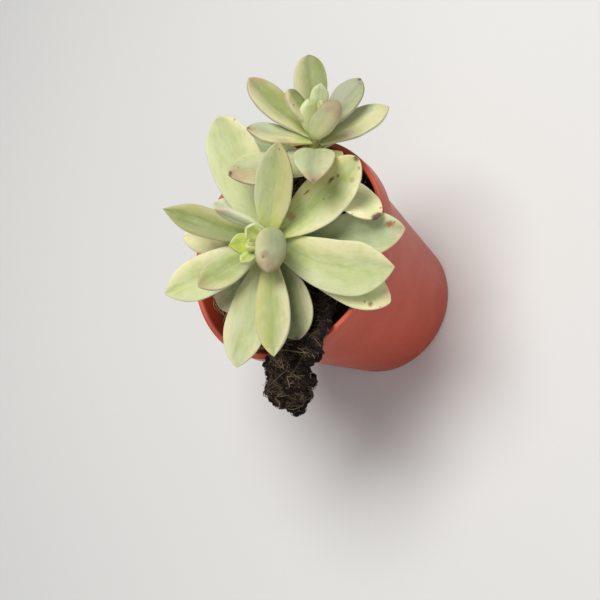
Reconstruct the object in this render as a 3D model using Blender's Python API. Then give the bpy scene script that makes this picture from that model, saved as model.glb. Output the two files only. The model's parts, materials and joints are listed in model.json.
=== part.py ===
"""A potted echeveria: two leaning rosettes of plump leaves in one small nursery pot.

Sizes are in millimetres and angles in degrees until the helpers write them as metres.
The origin is the middle of the pot's underside, with +Z up.
"""

import math
from collections import namedtuple

import bmesh
import bpy
import numpy as np
from mathutils import Vector, noise

MM = 0.001
GAP = 0.3  # clearance between pieces that touch

# Pot
POT_HEIGHT = 57.0
RIM_RADIUS = 32.5
BASE_RADIUS = 22.5
COLLAR_HEIGHT = 5.5
COLLAR_STEP = 1.2
LIP_THICKNESS = 1.5
WALL_THICKNESS = 1.0
BASE_THICKNESS = 1.4
EDGE_ROUND = 0.4
POT_SEGMENTS = 60  # of the soil too
DRAIN_HOLES = 8
DRAIN_RADIUS = 2.4
DRAIN_CIRCLE = 16.5
DRAIN_SIDES = 16

# Soil
SOIL_DEPTH = 8.0  # of its surface below the rim
SOIL_BUMP = 0.8
SOIL_RINGS = 7
SOIL_EDGE_DROP = 1.2  # where the soil has shrunk away from the wall
SOIL_CLEARANCE = 0.5  # from the wall
HOLE_LENGTH = 16.0  # of the stems' holes, so that they come out of the soil

# Stems
STEM_SIDES = 16
CROWN_AT = 0.95  # of a stem's length, where it closes to its growing point
HEART_ROOT = 1.0  # depth of the small leaves' bases in the stem

# Leaves
LEAF_SIDES = 12
LEAF_STEPS = (0.0, 0.1, 0.25, 0.42, 0.6, 0.75, 0.87, 0.95)
OUTLINE_SWELL = 1.25
OUTLINE_POINT = 2.5
BLUNT_END = 0.35  # width of a plump leaf's rounded base, as a share of its greatest
FACE_SHARE = 0.36  # of the thickness that lies above the margins
END_THICKNESS = 0.66  # of the greatest, at a leaf's two ends

Stem = namedtuple("Stem", "name foot lean length foot_radius tip_radius")
# Bearings run anticlockwise round the stem from its +X side, rises from the plane square to the stem.
# The leaf's base width and widest place are shares of its width and length. A root counts inwards
# from the stem's surface, and a plump leaf is egg-shaped.
Leaf = namedtuple(
    "Leaf",
    "name height bearing rise length width thick curl roll channel tip around sweep base widest root plump",
    defaults=(3.0, 14.0, 0.0, 0.16, 0.85, 0.0, 0.0, 0.33, 0.6, None, 0),
)

MAIN_STEM = Stem("main_stem", (0.9, 4.5, 42.5), (-0.078, -0.384, 0.92), 40.5, 2.8, 2.0)
TOP_STEM = Stem("top_stem", (6.1, 1.7, 44.5), (0.63, -0.2, 0.75), 45.0, 2.4, 1.6)

MAIN_LEAVES = (
    Leaf("main_leaf_01", 24.3, -58.7, 7.6, 33.9, 12.6, 2.5, curl=7, tip=0.75),
    Leaf("main_leaf_02", 25.0, 164, -4, 21.5, 11.5, tip=0.6),
    Leaf("main_leaf_03", 27.0, 84, -1, 18.5, 9.5, 2.6),
    Leaf("main_leaf_04", 26.3, -89.5, 10, 34.6, 11.6, curl=8, tip=0.65),
    Leaf("main_leaf_05", 24.0, 109, -6, 26.5, 9.5, tip=0.6),
    Leaf("main_leaf_06", 27.6, -134.8, 12, 25.0, 11.4, 2.6, curl=8, tip=0.6, sweep=8, base=0.26),
    Leaf("main_leaf_07", 29.0, 49, 4, 35.5, 15.2, tip=0.65, sweep=10),
    Leaf("main_leaf_08", 28.5, 142, 8, 30.0, 11.8, around=-12, base=0.45),
    Leaf("main_leaf_09", 30.2, -164.4, 14, 32.0, 12.0, sweep=-10),
    Leaf("main_leaf_10", 30.0, -76.8, 12, 34.6, 14.4,
         tip=1, around=14, sweep=-38, base=0.42, root=-0.75),
    Leaf("main_leaf_11", 30.5, 98, 12, 28.3, 8.2, tip=1.2),
    Leaf("main_leaf_12", 32.2, -24.6, 6.3, 30.7, 13.2, 2.7, 18,
         tip=0.6, around=12, sweep=-20, base=0.36, widest=0.5),
    Leaf("main_leaf_13", 33.0, -141, 26, 31.3, 9.6, tip=1.0),
    Leaf("main_leaf_14", 33.5, 154, 26, 19.0, 8.6),
    Leaf("main_leaf_15", 34.0, 10, 28, 25.0, 11.0, channel=0.25, base=0.48, widest=0.45),
    Leaf("main_leaf_16", 35.5, 92, 25, 14.0, 5.4, 2.4, roll=-50, around=-63, root=-0.8),
)
MAIN_HEART = (
    Leaf("front", 36.5, -148, 30, 14.3, 8.2, 4.8, 10, 160,
         tip=1, around=134, widest=0.43, root=-2.1, plump=1),
    Leaf("left", 38.0, 132, 50, 8.4, 5.6, 2.0, 30, 0, 0.4, 1.5, base=0.45, widest=0.65),
    Leaf("upper", 38.2, 85, 52, 5.4, 4.6, 2.0, 30, 0, 0.4, 1.3, -50, base=0.6),
    Leaf("lower", 37.5, 180, 48, 9.0, 3.6, 2.0, 30),
    Leaf("inner", 38.0, -165, 75, 6.5, 3.2, 1.8, 30),
    Leaf("innermost", 38.5, 150, 78, 4.5, 2.4, 1.6, 20),
)
TOP_LEAVES = (
    Leaf("top_leaf_01", 28.0, 93, -2, 19.5, 8.0),
    Leaf("top_leaf_02", 28.5, -108.4, -2.7, 25.1, 10.6, 2.2, tip=0.6),
    Leaf("top_leaf_03", 31.0, 154, 6, 23.8, 10.6, 2.6, roll=-16),
    Leaf("top_leaf_04", 31.5, 10, 4, 17.0, 8.5),
    Leaf("top_leaf_05", 32.8, -106, 9, 9.0, 7.3, 2.0),
    Leaf("top_leaf_06", 32.7, -174, 4.5, 13.0, 8.4, 2.2, tip=0.5, base=0.38),
    Leaf("top_leaf_07", 34.0, 48, 16, 15.0, 7.6, 2.6),
    Leaf("top_leaf_08", 35.0, -146, 12, 21.2, 10.4, 2.6, curl=-48, tip=1.1, base=0.55, widest=0.42),
    Leaf("top_leaf_09", 35.6, 126, 14, 16.6, 8.0, 2.5, around=12, sweep=-12, base=0.42),
    Leaf("top_leaf_10", 35.4, -36.8, 20, 19.5, 10.6, 2.5, around=-6, sweep=14, base=0.45, widest=0.54),
    Leaf("top_leaf_11", 37.3, 91, 27, 21.4, 10.0, tip=0.7, sweep=6, base=0.4, widest=0.57),
    Leaf("top_leaf_12", 38.0, -9.5, 32, 17.0, 8.6, tip=0.7),
    Leaf("top_leaf_13", 39.0, 41, 35, 19.5, 9.0, tip=0.6),
)
TOP_HEART = (
    Leaf("front", 38.5, -44, 56, 12.4, 6.8, 4.6, 4, -120,
         tip=0.6, around=-120, widest=0.5, root=-1.1, plump=1),
    Leaf("left", 41.0, 105, 50, 11.5, 6.0, 2.6, 20, tip=0.65, base=0.55),
    Leaf("upper", 42.0, 20, 62, 9.5, 5.0, 2.4, 20, tip=1.1),
    Leaf("inner", 38.2, 60, 75, 9.8, 5.4, 3.4, 10, around=109, root=0.55, plump=1),
    Leaf("innermost", 43.0, -30, 78, 5.0, 2.8, 1.8, 20),
)

# Root clump: stations along its middle line, each (point, half width, half thickness)
CLUMP_PATH = (
    ((-8.5, -17.5, 52.0), 5.5, 2.2),
    ((-14.5, -20.5, 55.2), 6.4, 2.2),
    ((-20.0, -23.8, 59.9), 6.8, 2.1),
    ((-27.0, -25.2, 61.3), 6.8, 2.9),
    ((-34.5, -24.2, 57.0), 5.8, 3.4),
    ((-37.3, -22.5, 50.0), 3.6, 2.4),
)
CLUMP_SIDES = 18
CLUMP_RINGS_PER_STATION = 5
CLUMP_LUMP = 1.2  # height of its lumps
CLUMP_LUMP_WIDTH = 3.2
CLUMP_SWELL = 0.4  # most that a lump stands out
CLUMP_START = (1.5, 0.8, -0.6)  # from the first station to its blunt end
CLUMP_END = (-0.4, 0.6, -2.2)

# Colours, with roughness
TERRACOTTA = ((0.48, 0.09, 0.045), 0.45)
PEAT = ((0.022, 0.014, 0.01), 0.95)
ROOTS = ((0.06, 0.035, 0.02), 0.95)
LEAF_GREEN = ((0.46, 0.56, 0.27), 0.5)
HEART_GREEN = ((0.5, 0.62, 0.2), 0.5)


def clear_scene():
    for obj in list(bpy.data.objects):
        bpy.data.objects.remove(obj, do_unlink=True)


def material(name, look):
    colour, roughness = look
    made = bpy.data.materials.new(name)
    made.use_nodes = True
    shader = made.node_tree.nodes["Principled BSDF"]
    shader.inputs["Base Color"].default_value = (*colour, 1.0)
    shader.inputs["Roughness"].default_value = roughness
    shader.inputs["Metallic"].default_value = 0.0
    made.diffuse_color = (*colour, 1.0)
    return made


def mesh_object(name, points, faces, look, collection=None):
    """An object from points in millimetres, with its faces turned outwards."""
    mesh = bpy.data.meshes.new(name)
    mesh.from_pydata([Vector(p) * MM for p in points], [], faces)
    shape = bmesh.new()
    shape.from_mesh(mesh)
    bmesh.ops.recalc_face_normals(shape, faces=shape.faces)
    shape.to_mesh(mesh)
    shape.free()
    mesh.shade_smooth()
    obj = bpy.data.objects.new(name, mesh)
    (collection or bpy.context.scene.collection).objects.link(obj)
    if look:
        mesh.materials.append(material(name, look))
    return obj


def skin(rings, first=None, last=None):
    """Points and faces over equal rings of points, closed by an end point or a flat cap."""
    sides = len(rings[0])
    points = [p for ring in rings for p in ring]
    faces = []
    for i in range(len(rings) - 1):
        for k in range(sides):
            a = i * sides + k
            b = i * sides + (k + 1) % sides
            faces.append((a, b, b + sides, a + sides))
    for end, start in ((first, 0), (last, (len(rings) - 1) * sides)):
        edge = [start + k for k in range(sides)]
        if end is None:
            faces.append(tuple(edge))
            continue
        points.append(end)
        tip = len(points) - 1
        faces.extend((edge[k], edge[(k + 1) % sides], tip) for k in range(sides))
    return points, faces


def helper_collection(name):
    """A collection of helper meshes that a Boolean uses up."""
    helpers = bpy.data.collections.new(name)
    bpy.context.scene.collection.children.link(helpers)
    return helpers


def apply_boolean(target, operation, helpers):
    """Cuts a collection's meshes from the target, or joins them to it, and removes them."""
    for obj in helpers.objects:
        obj.hide_render = True
        obj.display_type = "WIRE"
    modifier = target.modifiers.new(operation.lower(), "BOOLEAN")
    modifier.operation = operation
    modifier.solver = "EXACT"
    modifier.operand_type = "COLLECTION"
    modifier.collection = helpers
    graph = bpy.context.evaluated_depsgraph_get()
    mesh = bpy.data.meshes.new_from_object(target.evaluated_get(graph))
    target.modifiers.clear()
    target.data = mesh
    for obj in list(helpers.objects):
        bpy.data.objects.remove(obj, do_unlink=True)
    bpy.data.collections.remove(helpers)


def circle_points(middle, radius, side, across, count):
    """Points of a circle about middle, in the plane of two directions."""
    turns = [2 * math.pi * k / count for k in range(count)]
    return [middle + radius * (side * math.cos(a) + across * math.sin(a)) for a in turns]


def level_circle(radius, z, count):
    return circle_points(Vector((0, 0, z)), radius, Vector((1, 0, 0)), Vector((0, 1, 0)), count)


def lathe(profile, segments):
    """Rings of a turned shape whose profile starts and ends on the axis."""
    rings = [level_circle(radius, z, segments) for radius, z in profile[1:-1]]
    return skin(rings, (0, 0, profile[0][1]), (0, 0, profile[-1][1]))


def wall_radius(z):
    """Outer radius of the tapered wall under the collar."""
    top = RIM_RADIUS - COLLAR_STEP
    return BASE_RADIUS + (top - BASE_RADIUS) * z / POT_HEIGHT


def make_pot():
    collar = POT_HEIGHT - COLLAR_HEIGHT
    inner_rim = RIM_RADIUS - LIP_THICKNESS
    profile = (
        (0, 0),
        (BASE_RADIUS - 2 * EDGE_ROUND, 0),
        (BASE_RADIUS, 2 * EDGE_ROUND),
        (wall_radius(collar - EDGE_ROUND), collar - EDGE_ROUND),
        (RIM_RADIUS - EDGE_ROUND, collar),
        (RIM_RADIUS - EDGE_ROUND / 2, collar + EDGE_ROUND),
        (RIM_RADIUS, POT_HEIGHT - EDGE_ROUND),
        (RIM_RADIUS - EDGE_ROUND, POT_HEIGHT),
        (inner_rim + EDGE_ROUND, POT_HEIGHT),
        (inner_rim, POT_HEIGHT - EDGE_ROUND),
        (wall_radius(collar) - WALL_THICKNESS, collar),
        (wall_radius(BASE_THICKNESS) - WALL_THICKNESS, BASE_THICKNESS),
        (0, BASE_THICKNESS),
    )
    pot = mesh_object("pot", *lathe(profile, POT_SEGMENTS), TERRACOTTA)
    drains = helper_collection("drains")
    for k in range(DRAIN_HOLES):
        turn = 2 * math.pi * (k + 0.5) / DRAIN_HOLES
        x = DRAIN_CIRCLE * math.cos(turn)
        y = DRAIN_CIRCLE * math.sin(turn)
        drill = rod((x, y, -1), (x, y, BASE_THICKNESS + 1), DRAIN_RADIUS, DRAIN_RADIUS, DRAIN_SIDES)
        mesh_object(f"drain_{k}", *drill, None, drains)
    apply_boolean(pot, "DIFFERENCE", drains)
    pot.data.set_sharp_from_angle(angle=math.radians(35))


def rod(start, end, start_radius, end_radius, sides):
    """A straight tapered rod with flat ends."""
    start = Vector(start)
    end = Vector(end)
    side = (end - start).normalized().orthogonal().normalized()
    across = (end - start).normalized().cross(side)
    ends = ((start, start_radius), (end, end_radius))
    return skin([circle_points(middle, radius, side, across, sides) for middle, radius in ends])


def soil_height(x, y):
    """Height of the uneven soil surface."""
    level = POT_HEIGHT - SOIL_DEPTH
    rough = noise.noise(Vector((x / 5, y / 5, 0.3))) + 0.5 * noise.noise(Vector((x / 2, y / 2, 4.1)))
    return level + SOIL_BUMP * rough


def make_soil():
    floor = BASE_THICKNESS + GAP
    low_radius = wall_radius(floor) - WALL_THICKNESS - SOIL_CLEARANCE
    top_radius = wall_radius(POT_HEIGHT - SOIL_DEPTH) - WALL_THICKNESS - SOIL_CLEARANCE
    rings = [level_circle(radius, floor, POT_SEGMENTS) for radius in (low_radius / 2, low_radius)]
    for i in range(SOIL_RINGS, 0, -1):
        drop = SOIL_EDGE_DROP if i == SOIL_RINGS else 0
        ring = level_circle(top_radius * i / SOIL_RINGS, 0, POT_SEGMENTS)
        rings.append([(p.x, p.y, soil_height(p.x, p.y) - drop) for p in ring])
    ends = ((0, 0, floor), (0, 0, soil_height(0, 0)))
    soil = mesh_object("soil", *skin(rings, *ends), PEAT)
    holes = helper_collection("holes")
    for stem in (MAIN_STEM, TOP_STEM):
        foot = Vector(stem.foot)
        lean = Vector(stem.lean).normalized()
        radius = stem.foot_radius + GAP
        drill = rod(foot - lean * GAP, foot + lean * HOLE_LENGTH, radius, radius, STEM_SIDES)
        mesh_object(f"hole_{stem.name}", *drill, None, holes)
    apply_boolean(soil, "DIFFERENCE", holes)


def clump_station(t):
    """Middle point, half width and half thickness of the root clump, t from 0 to 1."""
    spans = len(CLUMP_PATH) - 1
    i = min(int(t * spans), spans - 1)
    u = t * spans - i
    near = [CLUMP_PATH[min(max(i + j, 0), spans)] for j in (-1, 0, 1, 2)]
    rows = [np.array((*point, width, thick)) for point, width, thick in near]
    a, b, c, d = rows
    bend = 2 * a - 5 * b + 4 * c - d
    twist = 3 * (b - c) + d - a
    x, y, z, width, thick = 0.5 * (2 * b + (c - a) * u + bend * u**2 + twist * u**3)
    return Vector((x, y, z)), width, thick


def make_root_clump():
    count = CLUMP_RINGS_PER_STATION * (len(CLUMP_PATH) - 1)
    rings = []
    for i in range(count + 1):
        t = i / count
        middle, width, thick = clump_station(t)
        ahead = clump_station(min(t + 0.02, 1))[0] - clump_station(max(t - 0.02, 0))[0]
        ahead.normalize()
        outward = Vector((middle.x, middle.y, 0)).normalized()
        side = Vector((0, 0, 1)).cross(outward)
        side = (side - ahead * side.dot(ahead)).normalized()
        up = side.cross(ahead)
        ring = []
        for k in range(CLUMP_SIDES):
            a = 2 * math.pi * k / CLUMP_SIDES
            point = middle + side * (width * math.cos(a)) + up * (thick * math.sin(a))
            lump = CLUMP_LUMP * noise.noise(point / CLUMP_LUMP_WIDTH)
            ring.append(point + (point - middle).normalized() * min(lump, CLUMP_SWELL))
        rings.append(ring)
    start = clump_station(0)[0] + Vector(CLUMP_START)
    end = clump_station(1)[0] + Vector(CLUMP_END)
    mesh_object("root_clump", *skin(rings, start, end), ROOTS)


def stem_frame(stem):
    """The stem's own directions: along it, and towards bearings 0 and 90."""
    along = Vector(stem.lean).normalized()
    ahead = Vector((1, 0, 0))
    ahead = (ahead - along * ahead.dot(along)).normalized()
    return along, ahead, along.cross(ahead)


def stem_radius(stem, height):
    return stem.foot_radius + (stem.tip_radius - stem.foot_radius) * height / stem.length


def leaf_outline(t, leaf):
    """Half width of a leaf at t of its length, as a share of its greatest half width."""
    if t >= leaf.widest:
        return (1 - ((t - leaf.widest) / (1 - leaf.widest)) ** OUTLINE_POINT) ** leaf.tip
    if leaf.plump:
        return max(BLUNT_END, math.sqrt(1 - (1 - t / leaf.widest) ** 2))
    return leaf.base + (1 - leaf.base) * math.sin(math.pi / 2 * t / leaf.widest) ** OUTLINE_SWELL


def leaf_thickness(t, leaf):
    """Thickness of a leaf at t of its length, as a share of its greatest."""
    swell = END_THICKNESS + (1 - END_THICKNESS) * math.sin(math.pi * min(1.0, t / LEAF_STEPS[-1]))
    return swell * min(1.0, 1.5 * leaf_outline(t, leaf)) ** 0.7


def leaf_axes(leaf, stem):
    """Directions of a leaf: from the stem to its root, and its heading, face and side."""
    along, ahead, aside = stem_frame(stem)
    bearing = math.radians(leaf.bearing)
    root = math.radians(leaf.bearing + leaf.around)
    rise = math.radians(leaf.rise)
    roll = math.radians(leaf.roll)
    outward = ahead * math.cos(root) + aside * math.sin(root)
    radial = ahead * math.cos(bearing) + aside * math.sin(bearing)
    heading = radial * math.cos(rise) + along * math.sin(rise)
    face = along * math.cos(rise) - radial * math.sin(rise)
    side = heading.cross(face)
    turned = face * math.cos(roll) + side * math.sin(roll)
    return outward, heading, turned, heading.cross(turned)


def leaf_path(leaf, stem, root):
    """Middle point and heading, side and upward directions of a leaf at each of its steps."""
    along = stem_frame(stem)[0]
    outward, heading, face, side = leaf_axes(leaf, stem)
    curl = math.radians(leaf.curl)
    sweep = math.radians(leaf.sweep)
    slope = math.radians(leaf.rise) - curl / 2
    stand_off = GAP + leaf.thick / 2 * abs(math.sin(slope)) if root is None else -root
    place = Vector(stem.foot) + along * leaf.height
    place = place + outward * (stem_radius(stem, leaf.height) + stand_off)
    last = 0.0
    for t in (*LEAF_STEPS, 1.0):
        turns = []
        for at in ((t + last) / 2, t):
            bend = sweep * (at - 0.5)
            lift = curl * (at - 0.5)
            level = heading * math.cos(bend) + side * math.sin(bend)
            ahead = level * math.cos(lift) + face * math.sin(lift)
            turns.append((ahead, side * math.cos(bend) - heading * math.sin(bend)))
        place = place + leaf.length * (t - last) * turns[0][0]
        ahead, aside = turns[1]
        yield t, place, aside, aside.cross(ahead)
        last = t


def leaf_mesh(leaf, stem, root=None):
    """A leaf whose base stands just clear of the stem, or root mm inside its surface."""
    if leaf.root is not None:
        root = leaf.root
    face_share = 0.5 if leaf.plump else FACE_SHARE
    channel = 0 if leaf.plump else leaf.channel
    rings = []
    for t, place, side, up in leaf_path(leaf, stem, root):
        if t == 1.0:
            break
        width = leaf.width / 2 * leaf_outline(t, leaf)
        thick = leaf.thick * leaf_thickness(t, leaf)
        ring = []
        for k in range(LEAF_SIDES):
            a = 2 * math.pi * k / LEAF_SIDES
            share = face_share if math.sin(a) > 0 else 1 - face_share
            edge = channel * width * (math.cos(a) ** 2 - 0.5)
            ring.append(place + side * (width * math.cos(a)) + up * (edge + thick * share * math.sin(a)))
        rings.append(ring)
    return skin(rings, None, place)


def make_leaf(leaf, stem):
    mesh_object(leaf.name, *leaf_mesh(leaf, stem), LEAF_GREEN)


def make_heart(stem, leaves):
    """A stem with the small leaves round its growing point, joined as one body."""
    foot = Vector(stem.foot)
    along, ahead, aside = stem_frame(stem)
    rings = []
    for height in (0.0, CROWN_AT * stem.length):
        radius = stem_radius(stem, height)
        rings.append(circle_points(foot + along * height, radius, ahead, aside, STEM_SIDES))
    heart = mesh_object(stem.name, *skin(rings, None, foot + along * stem.length), HEART_GREEN)
    small = helper_collection(f"{stem.name}_leaves")
    for leaf in leaves:
        mesh_object(f"{stem.name}_{leaf.name}", *leaf_mesh(leaf, stem, HEART_ROOT), None, small)
    apply_boolean(heart, "UNION", small)


def main():
    clear_scene()
    make_pot()
    make_soil()
    make_root_clump()
    for stem, leaves, heart in ((MAIN_STEM, MAIN_LEAVES, MAIN_HEART), (TOP_STEM, TOP_LEAVES, TOP_HEART)):
        make_heart(stem, heart)
        for leaf in leaves:
            make_leaf(leaf, stem)


main()
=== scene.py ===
"""Dressed model of a potted echeveria: leaves, stems, peat, roots and pot in fine form.

Lengths are in millimetres and angles in degrees until the helpers write them as metres.
"""

import json
import math
import random
from collections import namedtuple

import bmesh
import bpy
import numpy as np
from mathutils import Matrix, Vector, noise
from mathutils.bvhtree import BVHTree

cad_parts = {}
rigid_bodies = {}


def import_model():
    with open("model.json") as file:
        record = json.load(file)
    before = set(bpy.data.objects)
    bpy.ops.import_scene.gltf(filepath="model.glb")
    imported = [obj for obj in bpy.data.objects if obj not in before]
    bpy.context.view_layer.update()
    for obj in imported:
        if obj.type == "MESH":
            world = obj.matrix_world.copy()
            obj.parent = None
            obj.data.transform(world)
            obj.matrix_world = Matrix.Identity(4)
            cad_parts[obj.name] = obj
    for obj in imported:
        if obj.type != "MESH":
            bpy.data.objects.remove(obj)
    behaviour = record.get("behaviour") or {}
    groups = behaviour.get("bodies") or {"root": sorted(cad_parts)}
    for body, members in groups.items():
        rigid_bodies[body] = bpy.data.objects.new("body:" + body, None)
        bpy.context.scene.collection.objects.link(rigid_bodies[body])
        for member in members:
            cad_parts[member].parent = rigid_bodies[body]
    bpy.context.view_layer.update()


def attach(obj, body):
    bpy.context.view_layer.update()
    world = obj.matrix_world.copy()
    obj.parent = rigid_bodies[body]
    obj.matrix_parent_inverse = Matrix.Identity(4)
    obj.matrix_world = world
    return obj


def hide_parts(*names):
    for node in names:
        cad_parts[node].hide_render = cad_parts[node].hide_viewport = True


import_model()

MM = 0.001
scene = bpy.context.scene

# Camera: directions of its view, its place and its lens in millimetres
VIEW_UP = Vector((0.891, 0.350, 0.289))
VIEW_BACK = Vector((0.0, -0.636, 0.772))
CAMERA_PLACE = Vector((-11.3, -199.2, 281.7))
CAMERA_LENS = 64.26
SENSOR_WIDTH = 36.0
NEAREST = 10.0


def make_camera():
    data = bpy.data.cameras.new("camera")
    data.lens = CAMERA_LENS
    data.sensor_width = SENSOR_WIDTH
    data.clip_start = NEAREST * MM
    camera = bpy.data.objects.new("camera", data)
    scene.collection.objects.link(camera)
    back = VIEW_BACK.normalized()
    right = VIEW_UP.cross(back).normalized()
    up = back.cross(right)
    turn = Matrix((right, up, back)).transposed()
    camera.matrix_world = Matrix.Translation(CAMERA_PLACE * MM) @ turn.to_4x4()
    scene.camera = camera


def srgb(red, green, blue):
    """Linear colour of an 8-bit display colour."""
    shares = [c / 255 for c in (red, green, blue)]
    return tuple(c / 12.92 if c <= 0.04045 else ((c + 0.055) / 1.055) ** 2.4 for c in shares)


class Tree:
    """A material's node tree, with short calls for the nodes that its patterns need."""

    def __init__(self, name, colour):
        self.colour = colour
        self.material = bpy.data.materials.new(name)
        self.material.use_nodes = True
        self.tree = self.material.node_tree
        self.shader = self.tree.nodes["Principled BSDF"]

    def set(self, socket, value):
        if isinstance(value, bpy.types.NodeSocket):
            self.tree.links.new(value, socket)
        elif socket.type == "RGBA":
            socket.default_value = (*value[:3], 1.0)
        else:
            socket.default_value = value

    def surface(self, **values):
        self.set(self.shader.inputs["Base Color"], self.colour)
        for name, value in values.items():
            self.set(self.shader.inputs[name.replace("_", " ")], value)

    def node(self, kind, values=(), **settings):
        made = self.tree.nodes.new("ShaderNode" + kind)
        for name, value in settings.items():
            setattr(made, name, value)
        for key, value in dict(values).items():
            self.set(made.inputs[key], value)
        return made

    def math(self, operation, a, b=0.0):
        return self.node("Math", {0: a, 1: b}, operation=operation).outputs[0]

    def plus(self, a, b):
        return self.math("ADD", a, b)

    def minus(self, a, b):
        return self.math("SUBTRACT", a, b)

    def times(self, a, b):
        return self.math("MULTIPLY", a, b)

    def vector(self, operation, a, b=(0, 0, 0)):
        made = self.node("VectorMath", {0: a, 1: b}, operation=operation)
        return made.outputs["Value" if operation == "LENGTH" else "Vector"]

    def attribute(self, name):
        return self.node("Attribute", attribute_name=name).outputs["Vector"]

    def place(self):
        return self.node("TexCoord").outputs["Object"]

    def parts(self, vector):
        return self.node("SeparateXYZ", {0: vector}).outputs

    def join(self, x, y, z=0.0):
        return self.node("CombineXYZ", {0: x, 1: y, 2: z}).outputs[0]

    def noise(self, vector, scale, detail=3.0, rough=0.5):
        values = {"Vector": vector, "Scale": scale, "Detail": detail, "Roughness": rough}
        return self.node("TexNoise", values).outputs["Fac"]

    def smooth(self, value, low, high, top=1.0):
        """0 below low and top above high, or the other way round where low is the greater."""
        values = {"Value": value, "From Min": low, "From Max": high, "To Min": 0.0, "To Max": top}
        if low > high:
            values.update({"From Min": high, "From Max": low, "To Min": top, "To Max": 0.0})
        return self.node("MapRange", values, interpolation_type="SMOOTHSTEP").outputs["Result"]

    def coat(self, share, colour, blend="MIX"):
        """Lays a colour over what is there, as far as share says."""
        values = {0: share, 6: self.colour, 7: colour}
        made = self.node("Mix", values, data_type="RGBA", blend_type=blend)
        self.colour = made.outputs[2]

    def bump(self, height, distance, strength):
        values = {"Height": height, "Distance": distance, "Strength": strength}
        return self.node("Bump", values).outputs["Normal"]


def angles(count):
    """Angles that divide a full turn."""
    return [math.tau * k / count for k in range(count)]


def on_circle(radius, turn):
    return radius * math.cos(turn), radius * math.sin(turn)


def turned(first, second, turn):
    """The direction that lies a turn away from the first towards the second."""
    return first * math.cos(turn) + second * math.sin(turn)


def mesh_object(name, points, faces, material, smooth=True):
    """An object from points in millimetres."""
    mesh = bpy.data.meshes.new(name)
    mesh.from_pydata((np.asarray(points, float) * MM).tolist(), [], faces)
    mesh.update()
    if smooth:
        mesh.shade_smooth()
    obj = bpy.data.objects.new(name, mesh)
    scene.collection.objects.link(obj)
    mesh.materials.append(material)
    return obj


def store(obj, name, rows):
    data = obj.data.attributes.new(name, "FLOAT_VECTOR", "POINT").data
    data.foreach_set("vector", np.asarray(rows, np.float32).ravel())


def dress(obj, node, slot):
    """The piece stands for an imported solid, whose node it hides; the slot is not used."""
    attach(obj, "root")
    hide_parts(node)


def grid_faces(rings, sides, first=None, last=None):
    """Faces over rings of points that run one way round, with end points or flat ends."""
    faces = []
    for i in range(rings - 1):
        for k in range(sides):
            a = i * sides + k
            b = i * sides + (k + 1) % sides
            faces.append((a, b, b + sides, a + sides))
    start = list(range(sides))
    end = [(rings - 1) * sides + k for k in range(sides)]
    if first is None:
        faces.append(tuple(reversed(start)))
    else:
        faces.extend((start[(k + 1) % sides], start[k], first) for k in range(sides))
    if last is None:
        faces.append(tuple(end))
    else:
        faces.extend((end[k], end[(k + 1) % sides], last) for k in range(sides))
    return faces


# Leaf forms: lengths in millimetres, the rest as shares where nothing else is said
GAP = 0.3  # room between a leaf's end and its stem
BLUNT_END = 0.12  # least width at the foot of a plump leaf
OUTLINE_SWELL = 1.25
OUTLINE_POINT = 2.5
FACE_SHARE = 0.36  # how much of the thickness lies above the margins
END_THICKNESS = 0.66
THICK_UNTIL = 0.95
EDGE_REACH = 1.5
EDGE_POWER = 0.7
HEART_ROOT = 1.0  # how deep the heart's leaves sit in their stem
LEAF_RINGS = 76
LEAF_SIDES = 60
TIP_CROWDING = 1.35  # above 1, rings stand closer towards the tip
LEAF_SINK = 1.6  # how far a base reaches towards its stem
NECK = 0.25  # how much narrower it gets there
CUSP = 0.08  # length of the small point at a leaf's tip
FINE_WIDTH = 9.0  # narrower leaves have slighter waves, points and margins
BEND_WAVE = 0.3
RIPPLE = 0.25
MARGIN_WAVE = 0.03
THICKNESS_WAVE = 0.08
SECTION_POWERS = (0.88, 0.78)  # below 1, they fill out a section's sides and its height
GROOVE = 0.22
GROOVE_WIDTH = 0.3
GROOVE_FADE = 0.6
PILLOW = 0.14
BACK = 0.96
KEEL = 0.05
KEEL_WIDTH = 0.5
FORM_SEED = 3.7
SKIN_SEED = 11.3

Stem = namedtuple("Stem", "name foot lean length foot_radius tip_radius")
# A leaf: its height up the stem, its bearing and rise, its size, how far it curls up and rolls,
# how deep its hollow and how blunt its tip is, how far round the stem its root lies from its
# bearing, its sideways bend, the width of its foot, where it is widest, how deep its root sits in
# the stem, and 1 where it is plump without a hollow.
Leaf = namedtuple(
    "Leaf",
    "name height bearing rise length width thick curl roll channel tip "
    "around sweep base widest root plump",
    defaults=(3.0, 14.0, 0.0, 0.16, 0.85, 0.0, 0.0, 0.33, 0.6, None, 0),
)

MAIN_STEM = Stem("main_stem", (0.9, 4.5, 42.5), (-0.078, -0.384, 0.92), 40.5, 2.8, 2.0)
TOP_STEM = Stem("top_stem", (6.1, 1.7, 44.5), (0.63, -0.2, 0.75), 45.0, 2.4, 1.6)

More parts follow.
